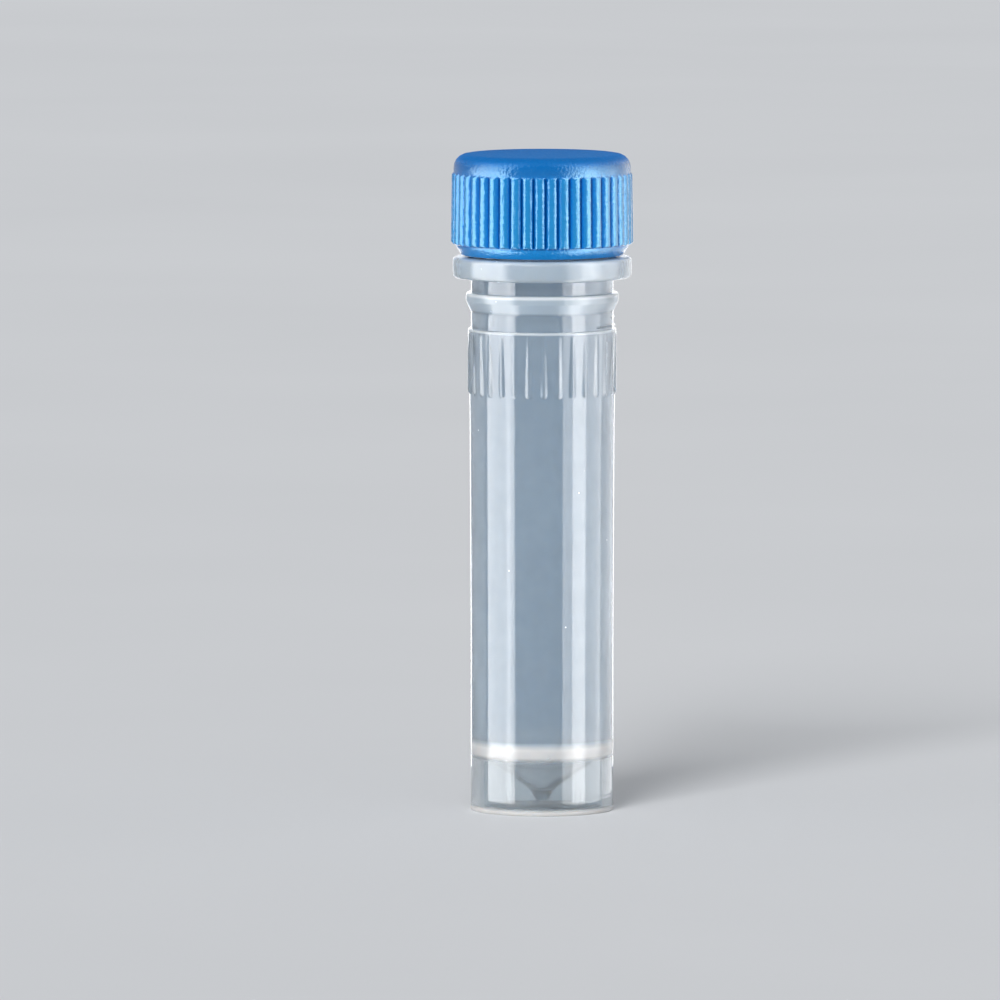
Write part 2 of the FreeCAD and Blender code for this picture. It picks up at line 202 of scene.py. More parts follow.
# %% The tube's outline
RIB_LEVELS = (30.44, 30.5, 30.58, 30.68, 30.8, 30.98, 31.7, 32.7, 33.7, 34.5, 34.8, 34.92, 35.0)
WALL_FOOT = (5.19, 1.2)
TAPER_START = (5.19, 13.5)
FLARE_START = (5.265, 28.4)
BAND_START = (5.295, 30.4)
SHOULDER = (5.40, 35.28)


def along(low, high, level):
    """Radius on the straight line between two (radius, height) corners."""
    return low[0] + (high[0] - low[0]) * (level - low[1]) / (high[1] - low[1])


ribbed_band = [(along(BAND_START, SHOULDER, level), level) for level in RIB_LEVELS]
straight_wall = [(5.19, level) for level in (4.0, 7.0, 10.0)]
tapered_wall = [(along(TAPER_START, FLARE_START, level), level) for level in (17.0, 21.0, 25.0)]
tube_outline = [
    (0.0, 0.78),
    (0.35, 0.78, 0.06),
    (1.0, 1.74, 0.8),
    (4.35, 4.09, 0.15),
    (4.40, 0.0, 0.12),
    (5.235, 0.0, 0.12),
    (*WALL_FOOT, 1.5),
    *straight_wall,
    TAPER_START,
    *tapered_wall,
    FLARE_START,
    BAND_START,
    *ribbed_band,
    (*SHOULDER, 0.12),
    (5.175, 35.28, 0.05),
    (5.175, 35.45),
    (5.175, 35.53),
    (5.175, 35.61),
    (5.175, 36.03),
    (5.175, 36.11),
    (5.175, 36.19),
    (5.175, 36.49, 0.3),
    (5.555, 37.29, 0.2),
    (5.555, 37.9, 0.2),
    (5.175, 37.9, 0.08),
    (5.175, 38.98, 0.08),
    (6.505, 38.98, 0.3),
    (6.505, 40.5, 0.3),
    (4.95, 40.5, 0.1),
    (4.95, 45.7, 0.15),
    (4.30, 45.7, 0.15),
    (4.24, 32.0),
    (4.178, 18.0),
    (4.12, 4.75, 1.2),
    (0.45, 1.79, 1.0),
    (0.0, 1.79),
]
RIB_COUNT = 31
COLUMNS_PER_RIB = 12
FIRST_RIB_ANGLE = -88.7
tube = draw_outline("vial_tube", tube_outline)
turn_outline(tube, RIB_COUNT * COLUMNS_PER_RIB, FIRST_RIB_ANGLE)
tube_low, tube_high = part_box("tube")
print("the tube should reach from", tube_low.z / MM, "to", tube_high.z / MM, "mm")

# %% [markdown]
# ## Ribs and nibs on the tube
#
# The ribs are upright rods, half sunk in the wall, with ball-shaped lower ends. The wall
# widens upwards, so they grow narrower and lower towards the shoulder. We could push little
# capsules through the wall and join them, but a clear plastic shows every such seam. Instead
# the wall's own points are pulled out to where the rod's surface would be.
#
# Two faint arcs in the recess are made in the same way.

# %% Pull out the ribs
ROD_RADIUS = 0.27
ROD_CENTRE = 5.16
ROD_FOOT = 30.44
ROD_HEAD = 34.98
OUTER_WALL = 5.2
BAND_LEVELS = (30.3, 35.1)


def rod_surface(sideways, level):
    """How far a rib's surface is from the axis, or 0 where there is no rib."""
    if not ROD_FOOT <= level <= ROD_HEAD:
        return 0.0
    above_ball = max(0.0, ROD_FOOT + ROD_RADIUS - level)
    reach = ROD_RADIUS**2 - above_ball**2 - sideways**2
    return ROD_CENTRE + math.sqrt(reach) if reach > 0 else 0.0


def rib_factors(piece):
    pitch = 360 / RIB_COUNT
    factors = {}
    for number, point in enumerate(piece.data.vertices):
        radius, level, angle = measure_point(point, FIRST_RIB_ANGLE)
        if radius < OUTER_WALL or not BAND_LEVELS[0] < level < BAND_LEVELS[1]:
            continue
        off_rib = (angle + pitch / 2) % pitch - pitch / 2
        wanted = rod_surface(math.radians(off_rib) * radius, level)
        if wanted > radius:
            factors[number] = wanted / radius
    return factors


scale_from_axis(tube, rib_factors(tube))

# %% Pull out the two nibs
NIBS = (
    {"level": 35.53, "crest": 5.315, "from": -40, "to": 15},
    {"level": 36.11, "crest": 5.28, "from": -14.5, "to": 15.5},
)
NIB_HALF_WIDTH = 0.02
RECESS_WALL = (5.1, 5.25)


def nib_factors(piece):
    factors = {}
    for number, point in enumerate(piece.data.vertices):
        radius, level, angle = measure_point(point, 0)
        angle = (angle + 180) % 360 - 180
        for nib in NIBS:
            beside = nib["from"] <= angle <= nib["to"]
            at_level = abs(level - nib["level"]) < NIB_HALF_WIDTH
            if beside and at_level and RECESS_WALL[0] < radius < RECESS_WALL[1]:
                factors[number] = nib["crest"] / radius
    return factors


scale_from_axis(tube, nib_factors(tube))

# %% [markdown]
# ## Threads
#
# A thread is a ridge that climbs round a wall. Blender's Screw modifier sweeps an outline
# round an axis and lifts it at the same time, so four corners are enough. The ridge's ends are
# then closed, and a Boolean modifier joins it to the wall as one skin.

# %% Make a thread ridge and join it to its wall
THREAD_PITCH = 2.5
THREAD_TURNS = 1.3
RIDGE_ROOT = 0.45
RIDGE_CREST = 0.225
RIDGE_STEPS = 96
NECK_RIDGE = {"root": 4.87, "crest": 5.4, "level": 41.85}


def make_ridge(name, root, crest, level):
    """A closed helical ridge from the +X side, right-handed and rising."""
    corners = [
        (root, level - RIDGE_ROOT),
        (crest, level - RIDGE_CREST),
        (crest, level + RIDGE_CREST),
        (root, level + RIDGE_ROOT),
    ]
    ridge = draw_outline(name, corners, closed=True)
    screw = ridge.modifiers.new("climb", "SCREW")
    screw.axis = "Z"
    screw.angle = math.tau * THREAD_TURNS
    screw.screw_offset = THREAD_PITCH * THREAD_TURNS * MM
    screw.steps = screw.render_steps = RIDGE_STEPS
    screw.use_normal_calculate = True
    take(ridge)
    bpy.ops.object.modifier_apply(modifier=screw.name)
    bpy.ops.object.mode_set(mode="EDIT")
    bpy.ops.mesh.select_mode(type="EDGE")
    bpy.ops.mesh.select_all(action="DESELECT")
    bpy.ops.mesh.select_non_manifold()
    bpy.ops.mesh.edge_face_add()
    bpy.ops.mesh.select_mode(type="VERT")
    bpy.ops.mesh.select_all(action="SELECT")
    bpy.ops.mesh.normals_make_consistent(inside=False)
    bpy.ops.object.mode_set(mode="OBJECT")
    return ridge


def join_ridge(piece, ridge):
    joint = piece.modifiers.new("join", "BOOLEAN")
    joint.operation = "UNION"
    joint.solver = "EXACT"
    joint.object = ridge
    take(piece)
    bpy.ops.object.modifier_apply(modifier=joint.name)
    bpy.data.objects.remove(ridge)
    print(piece.name, "now has", len(piece.data.polygons), "faces")


join_ridge(tube, make_ridge("neck_ridge", **NECK_RIDGE))

# %% [markdown]
# ## The cap
#
# The cap is turned like the tube: a flat top with a rounded edge, the grip, a chamfer under
# it, and inside the wall, the ceiling and a ring-shaped plug that enters the tube's mouth.
#
# The grip is a row of round ribs with narrow valleys between them, and each valley has an
# arched top. Again the wall's points are moved instead of cutting it: from one valley to the
# next there are sixteen columns, and the rows lie close together where the arch is. Rounding
# the ribs matters more than anything else on the cap, because each rib then draws its own thin
# highlight for every lamp.

# %% The cap's outline
grip_head = [(6.455, 46.85), (6.455, 46.72), (6.457, 46.65), (6.48, 46.60), (6.525, 46.555)]
grip_shoulder = [(6.565, 46.51), (6.587, 46.46), (6.595, 46.4), (6.598, 46.3), (6.605, 46.0)]
grip_wall = [(6.622, 44.6), (6.640, 43.3), (6.658, 42.0)]
grip_foot = [(6.662, 41.72), (6.657, 41.64), (6.635, 41.56), (6.59, 41.50), (6.52, 41.455)]
grip_end = [(6.42, 41.435), (6.27, 41.43, 0.05), (6.27, 41.25, 0.2)]
cap_outline = [
    (0.0, 48.0),
    (3.0, 48.0),
    (5.3, 47.995),
    (6.455, 47.98, 1.0),
    *grip_head,
    *grip_shoulder,
    *grip_wall,
    *grip_foot,
    *grip_end,
    (5.88, 40.65, 0.08),
    (5.68, 40.65, 0.08),
    (5.56, 40.9, 0.1),
    (5.56, 46.7, 0.1),
    (4.13, 46.7, 0.1),
    (4.13, 45.05, 0.1),
    (3.98, 44.9, 0.1),
    (3.5, 44.9, 0.1),
    (3.5, 46.7, 0.2),
    (0.0, 46.7),
]
GROOVE_COUNT = 45
COLUMNS_PER_GROOVE = 16
FIRST_GROOVE_ANGLE = -87.5
cap = draw_outline("screw_cap_shell", cap_outline)
turn_outline(cap, GROOVE_COUNT * COLUMNS_PER_GROOVE, FIRST_GROOVE_ANGLE)

# %% Press in the grip grooves
CREST_TOP = (6.605, 46.0)
CREST_FOOT = (6.658, 42.0)
RIB_ROUNDING = 0.46
HALF_PITCH = 0.462
VALLEY_FLOOR = 6.29
VALLEY_HALF_WIDTH = 0.06
VALLEY_SPRING = 46.5
SOFT_EDGE = 0.04
GRIP_WALL = 6.3
GRIP_LEVELS = (41.4, 46.9)
CAP_RIDGE = {"root": 5.64, "crest": 5.05, "level": 41.12}


def rib_sag(from_crest):
    """How much lower a round rib is at this distance beside its crest."""
    return RIB_ROUNDING - math.sqrt(RIB_ROUNDING**2 - from_crest**2)


def groove_surface(sideways, level):
    """How far the tool's surface is from the axis at this place."""
    crest = along(CREST_TOP, CREST_FOOT, level)
    above = max(0.0, level - VALLEY_SPRING)
    from_valley = math.hypot(sideways, above)
    if from_valley >= VALLEY_HALF_WIDTH:
        return crest - rib_sag(max(0.0, HALF_PITCH - from_valley))
    brink = crest - rib_sag(HALF_PITCH - VALLEY_HALF_WIDTH)
    return VALLEY_FLOOR + (brink - VALLEY_FLOOR) * from_valley / VALLEY_HALF_WIDTH


def softer_of(first, second):
    """The smaller of two radii, with a small rounding where they meet."""
    blend = max(0.0, SOFT_EDGE - abs(first - second)) / SOFT_EDGE
    return min(first, second) - blend**2 * SOFT_EDGE / 4


def groove_factors(piece):
    pitch = 360 / GROOVE_COUNT
    factors = {}
    for number, point in enumerate(piece.data.vertices):
        radius, level, angle = measure_point(point, FIRST_GROOVE_ANGLE)
        if radius < GRIP_WALL or not GRIP_LEVELS[0] < level < GRIP_LEVELS[1]:
            continue
        off_groove = (angle + pitch / 2) % pitch - pitch / 2
        cutter = groove_surface(math.radians(off_groove) * radius, level)
        wanted = softer_of(radius, cutter)
        if wanted < radius:
            factors[number] = wanted / radius
    return factors


scale_from_axis(cap, groove_factors(cap))
join_ridge(cap, make_ridge("cap_ridge", **CAP_RIDGE))

# %% [markdown]
# ## The seal ring
#
# A soft silicone ring sits round the plug, between the tube's rim and the cap's ceiling. It is
# hidden while the vial is closed, and shows when the cap is lifted.

# %% Turn the ring
RING_COLUMNS = 144
ring_outline = [
    (4.16, 45.73, 0.4),
    (5.34, 45.73, 0.4),
    (5.34, 46.67, 0.4),
    (4.16, 46.67, 0.4),
]
ring = draw_outline("seal_ring_turned", ring_outline, closed=True)
turn_outline(ring, RING_COLUMNS)

# %% Smooth shading
for piece, limit in ((tube, 38), (cap, 38), (ring, 40)):
    take(piece)
    bpy.ops.object.shade_smooth_by_angle(angle=math.radians(limit))
    print(piece.name, "is smooth across edges of less than", limit, "degrees")
let_go()

# %% [markdown]
# ## Node tools
#
# All the plastics are built from the same few nodes, so we first make short ways to add them.
# Every pattern is measured in Object coordinates, which are metres: a noise of scale 1000 has
# features about a millimetre wide, whatever piece it lies on. Nothing depends on the camera or
# on a stretched texture, so a piece keeps its finish when it is moved or copied.

# %% A new material, and small sums
def new_plastic(name):
    """A new material, its node tree and its Principled shader."""
    plastic = bpy.data.materials.new(name)
    plastic.use_nodes = True
    return plastic, plastic.node_tree, plastic.node_tree.nodes["Principled BSDF"]


def calculate(tree, operation, first, second):
    """One Math node; each side is a socket or a number."""
    node = tree.nodes.new("ShaderNodeMath")
    node.operation = operation
    for side, value in zip(node.inputs, (first, second)):
        if isinstance(value, (int, float)):
            side.default_value = value
        else:
            tree.links.new(value, side)
    return node.outputs["Value"]


def remap(tree, value, from_low, from_high, to_low, to_high):
    """Stretches a value from one range to another, and stops it at both ends."""
    node = tree.nodes.new("ShaderNodeMapRange")
    names = ("From Min", "From Max", "To Min", "To Max")
    for name, number in zip(names, (from_low, from_high, to_low, to_high)):
        node.inputs[name].default_value = number
    tree.links.new(value, node.inputs["Value"])
    return node.outputs["Result"]


def zone(tree, value, start, full, fading, end):
    """1 between full and fading, 0 before start and after end."""
    rising = remap(tree, value, start, full, 0, 1)
    return calculate(tree, "MULTIPLY", rising, remap(tree, value, fading, end, 1, 0))


# %% Patterns, places, colours and relief
def add_noise(tree, scale, detail=2.0, stretch=(1, 1, 1)):
    """A noise in Object coordinates; a small number in stretch draws it out that way."""
    place = tree.nodes.new("ShaderNodeTexCoord")
    mapping = tree.nodes.new("ShaderNodeMapping")
    mapping.inputs["Scale"].default_value = stretch
    pattern = tree.nodes.new("ShaderNodeTexNoise")
    pattern.inputs["Scale"].default_value = scale
    pattern.inputs["Detail"].default_value = detail
    tree.links.new(place.outputs["Object"], mapping.inputs["Vector"])
    tree.links.new(mapping.outputs["Vector"], pattern.inputs["Vector"])
    return pattern.outputs["Fac"]


def add_specks(tree, scale, size):
    """1 inside small round specks; scale is the number of cells in a metre."""
    place = tree.nodes.new("ShaderNodeTexCoord")
    cells = tree.nodes.new("ShaderNodeTexVoronoi")
    cells.inputs["Scale"].default_value = scale
    tree.links.new(place.outputs["Object"], cells.inputs["Vector"])
    core = size * 0.6
    return remap(tree, cells.outputs["Distance"], core, size, 1, 0)


def radius_and_height(tree):
    """How far a place is from the vial's axis and above its foot, in millimetres."""
    place = tree.nodes.new("ShaderNodeTexCoord")
    parts = tree.nodes.new("ShaderNodeSeparateXYZ")
    tree.links.new(place.outputs["Object"], parts.inputs["Vector"])
    squares = [calculate(tree, "POWER", parts.outputs[side], 2) for side in "XY"]
    radius = calculate(tree, "SQRT", calculate(tree, "ADD", *squares), 0)
    return [calculate(tree, "MULTIPLY", value, 1000) for value in (radius, parts.outputs["Z"])]


def mix_colours(tree, share, first, second):
    """A blend of two colours, each a socket or three numbers."""
    node = tree.nodes.new("ShaderNodeMix")
    node.data_type = "RGBA"
    tree.links.new(share, node.inputs["Factor"])
    for side, colour in zip((node.inputs[6], node.inputs[7]), (first, second)):
        if isinstance(colour, tuple):
            side.default_value = (*colour, 1)
        else:
            tree.links.new(colour, side)
    return node.outputs[2]


def add_bump(tree, height, strength, depth):
    """Turns a pattern into fine relief; depth is in millimetres."""
    bump = tree.nodes.new("ShaderNodeBump")
    bump.inputs["Strength"].default_value = strength
    bump.inputs["Distance"].default_value = depth * MM
    tree.links.new(height, bump.inputs["Height"])
    return bump.outputs["Normal"]


def finish_piece(piece, plastic, body, node):
    """Gives a piece its material, and puts it in the place of its construction node."""
    piece.data.materials.clear()
    piece.data.materials.append(plastic)
    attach(piece, body)
    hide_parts(node)
    print(piece.name, "is", plastic.name, "with", len(plastic.node_tree.nodes), "nodes")


# %% [markdown]
# ## The tube's plastic
#
# The tube is natural polypropylene, with no pigment. It is not quite clear: tiny crystals in it
# scatter some of the light, so it looks milky and a little blue, and the thicker it is, the
# whiter it looks. The flange, the bead and the floor of the bore are thick. The skirt and the
# cone inside it are thin and almost clear, and the cone shows as a bowl with a small tip.
#
# A volume shader would scatter the light as the real thing does, but it is slow and grainy in a
# wall one millimetre thick. The Principled shader gets there with three numbers: Transmission
# says how much goes through like glass, Subsurface spreads the rest inside the wall, and the
# base colour tints it. We find the thick places by their radius and height, and lower the
# transmission there. The outer edges of the foot, the shoulder and the bead get a fine pale
# line: a painted highlight where those edges would catch the light.

# %% Where the zones of the tube lie
# A zone starts, is full, begins to fade and ends; a slope only has two ends. All in millimetres.
BEAD_LEVELS = (36.5, 36.7, 37.85, 37.95)
BEAD_SLOPE = (4.9, 5.1)
FLANGE_SLOPE = (5.46, 5.54)
BORE_FLOOR_LEVELS = (3.88, 4.22, 4.82, 5.35)
SHOULDER_EDGE_LEVELS = (35.05, 35.15, 35.4, 35.5)
BEAD_EDGE_LEVELS = (37.6, 37.75, 38.0, 38.1)
EDGE_SLOPE = (5.25, 5.35)
EDGE_SHARE = 0.5
FOOT_EDGE_SLOPE = (0.25, 0.5)
SKIRT_TOP_SLOPE = (4.0, 4.3)
CONE_SLOPE = (4.30, 4.36)
milky, tree, shader = new_plastic("milky_polypropylene")
radius, height = radius_and_height(tree)
bead = zone(tree, height, *BEAD_LEVELS)
bead = calculate(tree, "MULTIPLY", bead, remap(tree, radius, *BEAD_SLOPE, 0, 1))
rings = calculate(tree, "MAXIMUM", bead, remap(tree, radius, *FLANGE_SLOPE, 0, 1))
bore_floor = zone(tree, height, *BORE_FLOOR_LEVELS)
# The outer edges of the shoulder and the bead get a painted highlight.
shoulder_highlight = zone(tree, height, *SHOULDER_EDGE_LEVELS)
bead_lip_highlight = zone(tree, height, *BEAD_EDGE_LEVELS)
print("the tube's thick zones take", len(tree.nodes), "nodes")

# %% Where the tube is thick, where it is thin, and where its edges get a painted highlight
# Painted highlight: a fine pale, less clear line on the outer edges of the shoulder, the bead
# and the foot.
edges = calculate(tree, "MAXIMUM", shoulder_highlight, bead_lip_highlight)
edges = calculate(tree, "MULTIPLY", edges, remap(tree, radius, *EDGE_SLOPE, 0, EDGE_SHARE))
edges = calculate(tree, "MAXIMUM", edges, remap(tree, height, *FOOT_EDGE_SLOPE, 1, 0))
low_down = remap(tree, height, *SKIRT_TOP_SLOPE, 1, 0)
cone = calculate(tree, "MULTIPLY", low_down, remap(tree, radius, *CONE_SLOPE, 1, 0))
skirt = calculate(tree, "SUBTRACT", low_down, cone)
bore_floor_and_edge_highlight = calculate(tree, "MAXIMUM", bore_floor, edges)
thick_parts_and_edge_highlight = calculate(tree, "MAXIMUM", rings, bore_floor_and_edge_highlight)
pale_parts_and_edge_highlight = calculate(tree, "MAXIMUM", bore_floor_and_edge_highlight, cone)
print("all the tube's zones take", len(tree.nodes), "nodes")

# %% [markdown]
# Three patterns keep it from looking like a computer's idea of plastic. Wide clouds change its
# milkiness a little. Flow lines run up the wall, because the plastic was pushed that way into
# the mould, and they change the gloss. Fine scuffs from hands and racks make it duller, and the
# thick parts and the edges are duller still. A few specks of dust or tiny bubbles are left in
# the wall.

# %% Colour
MILK = ((0.52, 0.61, 0.69), (0.59, 0.68, 0.76))
THICK_MILK = (0.57, 0.66, 0.74)
SKIRT_TINT = (0.72, 0.78, 0.82)
PALE_TINT = (0.97, 0.98, 0.99)
SPECK_TINT = (0.95, 0.97, 1.0)
MIDDLE_OF_NOISE = (0.3, 0.7)
clouds = remap(tree, add_noise(tree, scale=170, detail=3.0), *MIDDLE_OF_NOISE, 0, 1)
specks = add_specks(tree, scale=420, size=0.035)
tint = mix_colours(tree, clouds, *MILK)
tint = mix_colours(tree, thick_parts_and_edge_highlight, tint, THICK_MILK)
tint = mix_colours(tree, skirt, tint, SKIRT_TINT)
# The pale tint also paints the highlight on the outer edges.
tint = mix_colours(tree, pale_parts_and_edge_highlight, tint, PALE_TINT)
tint = mix_colours(tree, specks, tint, SPECK_TINT)
tree.links.new(tint, shader.inputs["Base Color"])
print("the tube's colour is mixed from", len(tree.nodes), "nodes")

# %% Milkiness
CLEARNESS = (0.74, 0.84)
POLYPROPYLENE_IOR = 1.49
SPREAD = (1.0, 1.1, 1.2)
SPREAD_SCALE = 1.5 * MM
# The painted edge highlight is also made less clear, so that it reads pale.
clearness_changes = ((low_down, 0.14), (thick_parts_and_edge_highlight, -0.35), (edges, -0.45), (specks, -0.3))
clearness = remap(tree, clouds, 0, 1, *CLEARNESS)
for part, change in clearness_changes:
    clearness = calculate(tree, "ADD", clearness, calculate(tree, "MULTIPLY", part, change))
tree.links.new(clearness, shader.inputs["Transmission Weight"])
shader.inputs["IOR"].default_value = POLYPROPYLENE_IOR
shader.inputs["Subsurface Weight"].default_value = 1.0
shader.inputs["Subsurface Radius"].default_value = SPREAD
shader.inputs["Subsurface Scale"].default_value = SPREAD_SCALE
print("clearness changes in", len(clearness_changes), "places")

# %% Gloss and relief
WALL_DULLNESS = (0.05, 0.11)
SCUFF_TIPS = (0.55, 0.75)
SCUFF_DULLNESS = 0.05
THICK_DULLNESS = 0.16
flow_lines = add_noise(tree, scale=1500, stretch=(1, 1, 0.02))
scuffs = add_noise(tree, scale=900, detail=4.0, stretch=(1, 1, 0.3))
dullness = remap(tree, flow_lines, *MIDDLE_OF_NOISE, *WALL_DULLNESS)
scuff_dullness = remap(tree, scuffs, *SCUFF_TIPS, 0, SCUFF_DULLNESS)
thick_dullness = calculate(tree, "MULTIPLY", thick_parts_and_edge_highlight, THICK_DULLNESS)
dullness = calculate(tree, "ADD", dullness, scuff_dullness)
dullness = calculate(tree, "ADD", dullness, thick_dullness)
relief = calculate(tree, "ADD", flow_lines, scuffs)
tree.links.new(dullness, shader.inputs["Roughness"])
tree.links.new(add_bump(tree, relief, strength=0.06, depth=0.005), shader.inputs["Normal"])
finish_piece(tube, milky, "vial", "tube")

# %% [markdown]
# ## The cap's plastic
#
# The cap is polypropylene too, but dyed through with a bright blue. Its mould was eroded with
# sparks, which leaves a grain of little pits about a fifth of a millimetre wide. The grain
# breaks the highlights into glitter and hardly shows anywhere else, so it goes into the bump
# and the roughness, and only a breath of it into the colour.
#
# The crests of the ribs are painted lighter, a painted highlight where they catch the light.
# The valleys between them and the crown get painted shade, a deeper blue, and the chamfer under
# the grip, close over the tube's pale flange, is painted lighter, as light thrown up from it.
# The crests are the widest part of the cap, so the radius alone tells crest from valley.

# %% Where the cap's crests, valleys, crown and chamfer lie
GRIP_ZONE = (41.5, 41.6, 46.4, 46.55)
VALLEY_SLOPE = (6.32, 6.42)
CREST_SLOPE = (6.45, 6.62)
CROWN_SLOPE = (46.5, 46.9)
CROWN_SHARE = 0.85
CHAMFER_SLOPE = (41.3, 41.45)
CHAMFER_SHARE = 0.8
blue, tree, shader = new_plastic("blue_polypropylene")
radius, height = radius_and_height(tree)
grip = zone(tree, height, *GRIP_ZONE)
# Painted shade: the valleys between the ribs are painted a deeper blue.
painted_valley_shade = calculate(tree, "MULTIPLY", grip, remap(tree, radius, *VALLEY_SLOPE, 1, 0))
# Painted highlight: the crests of the ribs are painted a lighter blue where they catch the
# light.
painted_crest_highlight = remap(tree, radius, *CREST_SLOPE, 0, 1)
# Painted shade: the crown at the top is painted a deeper blue, as the light comes from the
# sides.
painted_crown_shade = remap(tree, height, *CROWN_SLOPE, 0, CROWN_SHARE)
# Painted light: the chamfer under the grip is painted lighter, as light thrown up from the
# tube's pale flange.
chamfer_painted_light = remap(tree, height, *CHAMFER_SLOPE, CHAMFER_SHARE, 0)
print("the cap's zones take", len(tree.nodes), "nodes")

# %% Pigment, with a painted highlight on the crests, painted shade in the valleys and on the crown, and painted light on the chamfer
PIGMENT = ((0.001, 0.14, 0.47), (0.001, 0.16, 0.52))
# The crest blue is a painted highlight.
CREST_HIGHLIGHT_BLUE = (0.006, 0.215, 0.52)
GRAIN_BLUE = (0.006, 0.23, 0.56)
# The crown blue is painted shade.
CROWN_SHADE_BLUE = (0.0, 0.117, 0.385)
# The valley blue is painted shade.
VALLEY_SHADE_BLUE = (0.001, 0.055, 0.24)
# The chamfer blue is painted light from the flange.
CHAMFER_LIGHT_BLUE = (0.0, 0.25, 0.66)
GRAIN_TIPS = (0.5, 0.8)
clouds = remap(tree, add_noise(tree, scale=220), *MIDDLE_OF_NOISE, 0, 1)
grain = add_noise(tree, scale=5200)
pigment = mix_colours(tree, clouds, *PIGMENT)
pigment = mix_colours(tree, painted_crest_highlight, pigment, CREST_HIGHLIGHT_BLUE)
pigment = mix_colours(tree, remap(tree, grain, *GRAIN_TIPS, 0, 1), pigment, GRAIN_BLUE)
pigment = mix_colours(tree, painted_crown_shade, pigment, CROWN_SHADE_BLUE)
pigment = mix_colours(tree, painted_valley_shade, pigment, VALLEY_SHADE_BLUE)
pigment = mix_colours(tree, chamfer_painted_light, pigment, CHAMFER_LIGHT_BLUE)
tree.links.new(pigment, shader.inputs["Base Color"])
print("the cap's colour is mixed from", len(tree.nodes), "nodes")

# %% Gloss and spark-eroded grain
SHEEN_SLOPE = (46.9, 47.7)
GRIP_SHEEN, TOP_SHEEN = 0.65, 0.05
GLOSS_TINT = (0.55, 0.92, 1.0, 1)
SATIN = (0.10, 0.24)
DULL_TOP_SLOPE = (47.3, 47.9)
DULL_TOP = 0.4
shader.inputs["Specular Tint"].default_value = GLOSS_TINT
sheen = remap(tree, height, *SHEEN_SLOPE, GRIP_SHEEN, TOP_SHEEN)
tree.links.new(sheen, shader.inputs["Specular IOR Level"])
satin = remap(tree, grain, *MIDDLE_OF_NOISE, *SATIN)
satin = calculate(tree, "ADD", satin, remap(tree, height, *DULL_TOP_SLOPE, 0, DULL_TOP))
tree.links.new(satin, shader.inputs["Roughness"])
tree.links.new(add_bump(tree, grain, strength=1.0, depth=0.05), shader.inputs["Normal"])
finish_piece(cap, blue, "cap", "screw_cap")

# %% [markdown]
# ## The ring's silicone
#
# Silicone is soft, pale and slightly greasy to look at: a broad dull gloss, with cloudy patches
# and a very fine skin.

# %% Silicone for the ring
SILICONE = ((0.70, 0.70, 0.67), (0.80, 0.80, 0.77))
SILICONE_DULLNESS = (0.45, 0.60)
SILICONE_IOR = 1.41
silicone, tree, shader = new_plastic("pale_silicone")
clouds = add_noise(tree, scale=700, detail=3.0)
tint = mix_colours(tree, clouds, *SILICONE)
dullness = remap(tree, clouds, *MIDDLE_OF_NOISE, *SILICONE_DULLNESS)
skin = add_bump(tree, add_noise(tree, scale=9000), strength=0.2, depth=0.01)
tree.links.new(tint, shader.inputs["Base Color"])
tree.links.new(dullness, shader.inputs["Roughness"])
tree.links.new(skin, shader.inputs["Normal"])
shader.inputs["IOR"].default_value = SILICONE_IOR
finish_piece(ring, silicone, "ring", "seal_ring")

# %% [markdown]
# ## Floor
#
# The floor is a plain pale sheet, much larger than the vial, so that its edge is never seen. It
# is matt, like paper, and only keeps the vial's soft shadow.

# %% A pale matt floor
FLOOR_SIZE = 6.0
FLOOR_GREY = ((0.69, 0.70, 0.72), (0.74, 0.75, 0.77))
FLOOR_DULLNESS = (0.75, 0.85)
let_go()
bpy.ops.mesh.primitive_plane_add(size=FLOOR_SIZE, location=(0, 0, 0))
floor = bpy.context.object
floor.name = "floor"
paper, tree, shader = new_plastic("pale_floor")
mottle = add_noise(tree, scale=12, detail=3.0)
tint = mix_colours(tree, mottle, *FLOOR_GREY)
dullness = remap(tree, mottle, *MIDDLE_OF_NOISE, *FLOOR_DULLNESS)
tooth = add_bump(tree, add_noise(tree, scale=700), strength=0.05, depth=0.1)
tree.links.new(tint, shader.inputs["Base Color"])
tree.links.new(dullness, shader.inputs["Roughness"])
tree.links.new(tooth, shader.inputs["Normal"])
shader.inputs["Specular IOR Level"].default_value = 0.0
floor.data.materials.append(paper)
print("the floor is", tuple(round(side, 2) for side in floor.dimensions), "metres")

# %% [markdown]
# ## Light
#
# The light has three parts, as in a small studio:
#
# * A pale room and one soft window light show the colours as they are.
# * Upright strip lamps on the left and on the right draw the long bright bands that tell the
#   eye the tube is round and glossy. Each side has a wide strip with a narrow one that adds to
#   it, so that a band has a bright core, and on the right a weaker one goes on round the wall.
#   They are seen in reflections alone, so they don't wash out the colours and don't shine
#   through the tube.
# * Two thin strips behind the vial light its very edges, where any plastic mirrors strongly.
#
# The strips stand very close, because the camera looks slightly down: what an upright wall
# mirrors a little further out is the floor. A strip covers the part of the wall whose normal
# lies halfway between the strip and the camera.

# %% The room
ROOM_LIGHT = (0.45, 0.46, 0.47)
ROOM_LOOK = (0.53, 0.54, 0.56)
world = bpy.data.worlds.new("soft_room")
bpy.context.scene.world = world
world.use_nodes = True
room = world.node_tree
path = room.nodes.new("ShaderNodeLightPath")
seen = calculate(room, "MAXIMUM", path.outputs["Is Camera Ray"], path.outputs["Is Glossy Ray"])
seen = calculate(room, "MAXIMUM", seen, path.outputs["Is Transmission Ray"])
air = mix_colours(room, seen, ROOM_LIGHT, ROOM_LOOK)
room.links.new(air, room.nodes["Background"].inputs["Color"])
print("the room lights with", ROOM_LIGHT, "and looks like", ROOM_LOOK)


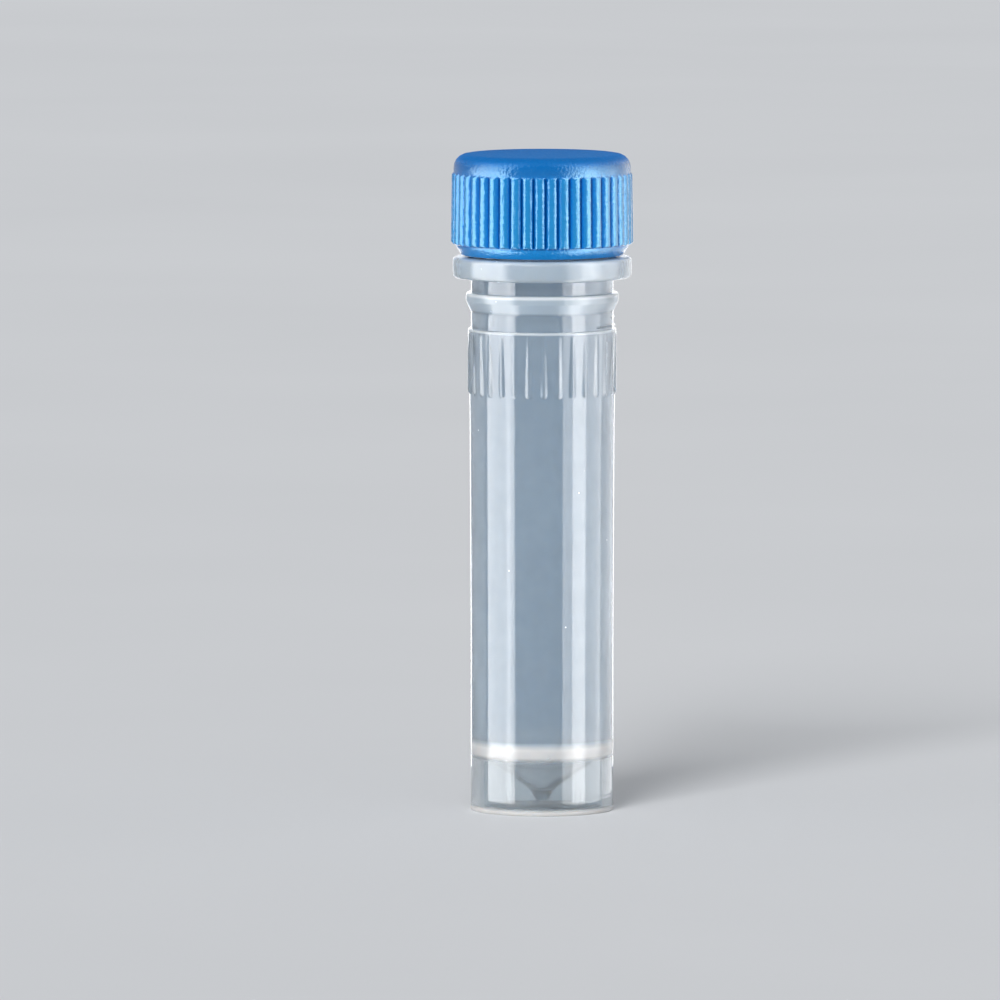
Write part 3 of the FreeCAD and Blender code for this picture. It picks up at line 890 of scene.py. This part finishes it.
# %% The window light
def add_lamp(name, kind, azimuth, elevation, distance, middle):
    """A lamp that looks at the vial's axis at a middle height; azimuth 0 is the front."""
    turn, rise = math.radians(azimuth), math.radians(elevation)
    forward = -math.cos(turn) * math.cos(rise)
    step = Vector((math.sin(turn) * math.cos(rise), forward, math.sin(rise)))
    lamp = bpy.data.lights.new(name, kind)
    holder = bpy.data.objects.new(name, lamp)
    bpy.context.scene.collection.objects.link(holder)
    holder.location = Vector((0, 0, middle)) + step * distance
    holder.rotation_euler = step.to_track_quat("Z", "Y").to_euler()
    holder.visible_camera = False
    return holder, lamp


VIAL_MIDDLE = 0.024
WINDOW = {"azimuth": -20, "elevation": 30, "distance": 1.0, "middle": VIAL_MIDDLE}
window_holder, window = add_lamp("window", "SUN", **WINDOW)
window.energy = 2.3
window.angle = math.radians(25)
window_holder.visible_glossy = False
print("the window light has", window.energy, "watts on a square metre")


# %% The strips
def add_strip(name, azimuth, distance, width, top, radiance):
    """An upright strip lamp that stands on the floor and only shows in reflections."""
    holder, lamp = add_lamp(name, "AREA", azimuth, 0, distance, top / 2)
    lamp.shape = "RECTANGLE"
    lamp.size, lamp.size_y = width, top
    lamp.energy = radiance * math.pi * width * top
    holder.visible_diffuse = False
    holder.visible_transmission = False
    print(name, "gives", round(lamp.energy, 3), "watts")


TALL, SHORT = 0.20, 0.044
STRIPS = {
    # name: azimuth in degrees, then distance, width and height in metres, and radiance
    "left_strip": (-61, 0.0147, 0.0126, TALL, 8.0),
    "left_core": (-46.7, 0.016, 0.0017, TALL, 3.0),
    "right_strip": (60.6, 0.01345, 0.0173, TALL, 5.0),
    "right_core": (52.6, 0.01574, 0.00578, TALL, 6.9),
    "right_fill": (115.7, 0.0148, 0.01215, TALL, 1.4),
    "left_edge_strip": (-165, 0.03, 0.011, SHORT, 2.2),
    "right_edge_strip": (165, 0.03, 0.011, SHORT, 2.2),
}
for name, numbers in STRIPS.items():
    add_strip(name, *numbers)

# %% [markdown]
# ## Camera
#
# A long lens from a metre away, a little above the vial: the upright edges stay upright, and
# the rings of the cap and the shoulder open into flat ellipses.

# %% Camera
LENS, SENSOR = 495.4, 36
CAMERA_PLACE = (0, -1.0, 0.112)
DOWNWARDS, SIDEWAYS = 5.1047, 0.176
camera_data = bpy.data.cameras.new("camera")
camera_data.lens, camera_data.sensor_width = LENS, SENSOR
camera_data.clip_start, camera_data.clip_end = 0.05, 20
camera = bpy.data.objects.new("camera", camera_data)
bpy.context.scene.collection.objects.link(camera)
camera.location = CAMERA_PLACE
camera.rotation_euler = (math.radians(90 - DOWNWARDS), 0, math.radians(SIDEWAYS))
bpy.context.scene.camera = camera
print("the camera looks", DOWNWARDS, "degrees down from", CAMERA_PLACE)

# %% Colour management
bpy.context.scene.view_settings.view_transform = "Standard"
